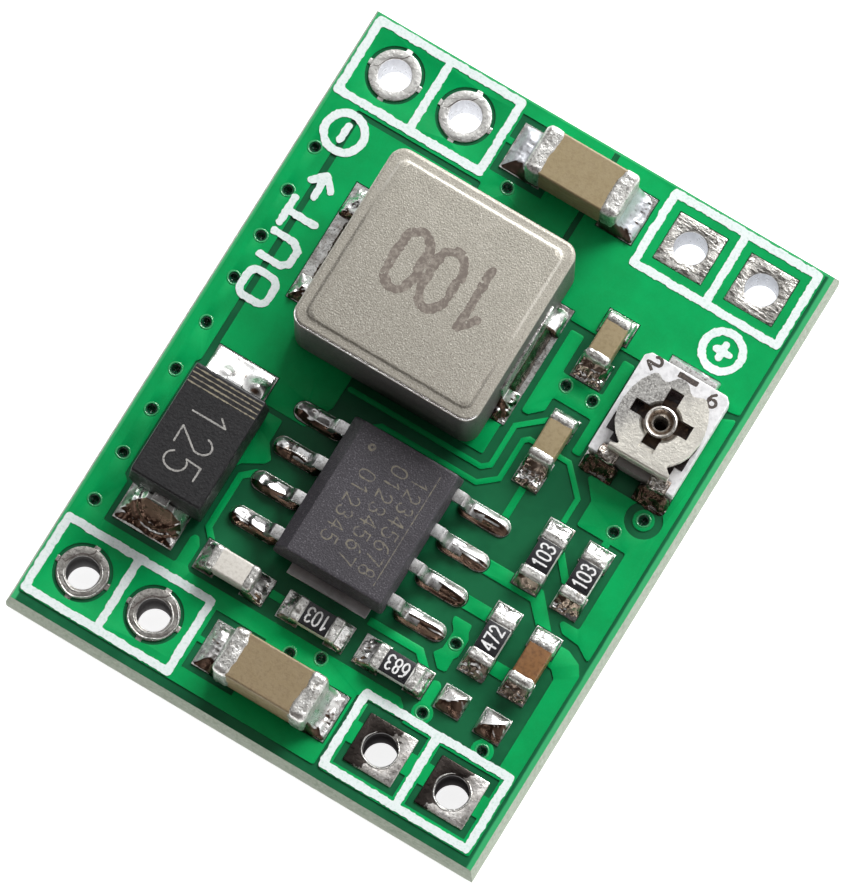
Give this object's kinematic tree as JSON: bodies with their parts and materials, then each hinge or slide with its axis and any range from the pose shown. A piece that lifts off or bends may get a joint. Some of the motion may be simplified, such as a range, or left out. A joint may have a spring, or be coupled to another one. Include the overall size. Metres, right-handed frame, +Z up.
{
  "type": "buck converter module",
  "caption": "Small green step-down converter board with a moulded power inductor, switching controller, diode, chip parts, a turnable trimmer and plated pin holes at its corners.",
  "frame": {"origin": "centre of the board's underside, the lowest plane of the part", "axes": "+X across the short side, +Y along the long side towards the output end (the end with the minus and plus circles), +Z up out of the component side"},
  "size_m": [0.0166, 0.022, 0.0046],
  "materials": {
    "legend_ink": "printed white ink",
    "solder": "bright reflowed solder",
    "laminate": "green coated glass-fibre laminate",
    "mould_compound": "dark moulding compound, fine grain",
    "silicon": "plain, sealed inside",
    "tinned_clip": "tinned, slightly dull",
    "coated_copper": "copper under a thin green coating, semi-gloss",
    "moulded_iron": "speckled warm grey moulded iron powder",
    "copper": "bare copper",
    "tan_ceramic": "tan ceramic, satin",
    "tinned_end": "tinned end cup, satin",
    "plating": "levelled solder plating",
    "pale_ceramic": "off-white ceramic, satin",
    "alumina": "white ceramic",
    "glass_coat": "black coat",
    "trimmer_ceramic": "white ceramic, satin",
    "rotor_steel": "pressed plated steel",
    "resistive_film": "dark resistive film",
    "coating": "green coating sunk in a hole"
  },
  "bodies": {
    "module": {"board_legend": "legend_ink", "chip_solder": "solder", "circuit_board": "laminate", "controller_body": "mould_compound", "controller_die": "silicon", "controller_leads": "tinned_clip", "controller_slug": "tinned_clip", "controller_solder": "solder", "copper_bottom": "coated_copper", "copper_top": "coated_copper", "diode_body": "mould_compound", "diode_die": "silicon", "diode_leads": "tinned_clip", "diode_solder": "solder", "heat_pad": "solder", "inductor_body": "moulded_iron", "inductor_clips": "tinned_clip", "inductor_coil": "copper", "inductor_solder": "solder", "input_capacitor_body": "tan_ceramic", "input_capacitor_ends": "tinned_end", "input_capacitor_solder": "solder", "input_negative_pads": "plating", "input_positive_pads": "plating", "light_capacitor_body": "pale_ceramic", "light_capacitor_ends": "tinned_end", "output_capacitor_body": "tan_ceramic", "output_capacitor_ends": "tinned_end", "output_capacitor_solder": "solder", "output_negative_pads": "plating", "output_positive_pads": "plating", "resistor_bodies": "alumina", "resistor_coats": "glass_coat", "resistor_ends": "tinned_end", "small_capacitor_bodies": "tan_ceramic", "small_capacitor_ends": "tinned_end", "spare_pad_solder": "solder", "surface_pads": "solder", "trimmer_base": "trimmer_ceramic", "trimmer_pin": "tinned_clip", "trimmer_solder": "solder", "trimmer_terminals": "tinned_clip", "trimmer_track": "resistive_film", "via_barrels": "copper", "via_plugs": "coating"},
    "rotor": {"trimmer_rotor": "rotor_steel", "trimmer_wiper": "rotor_steel"}
  },
  "joints": [
    {"name": "trimmer_turn", "type": "hinge", "parent": "module", "child": "rotor", "pos_m": [0.00609, 0.00389, 0.0026], "axis": [0, 0, 1], "range_deg": [-120, 120]}
  ]
}
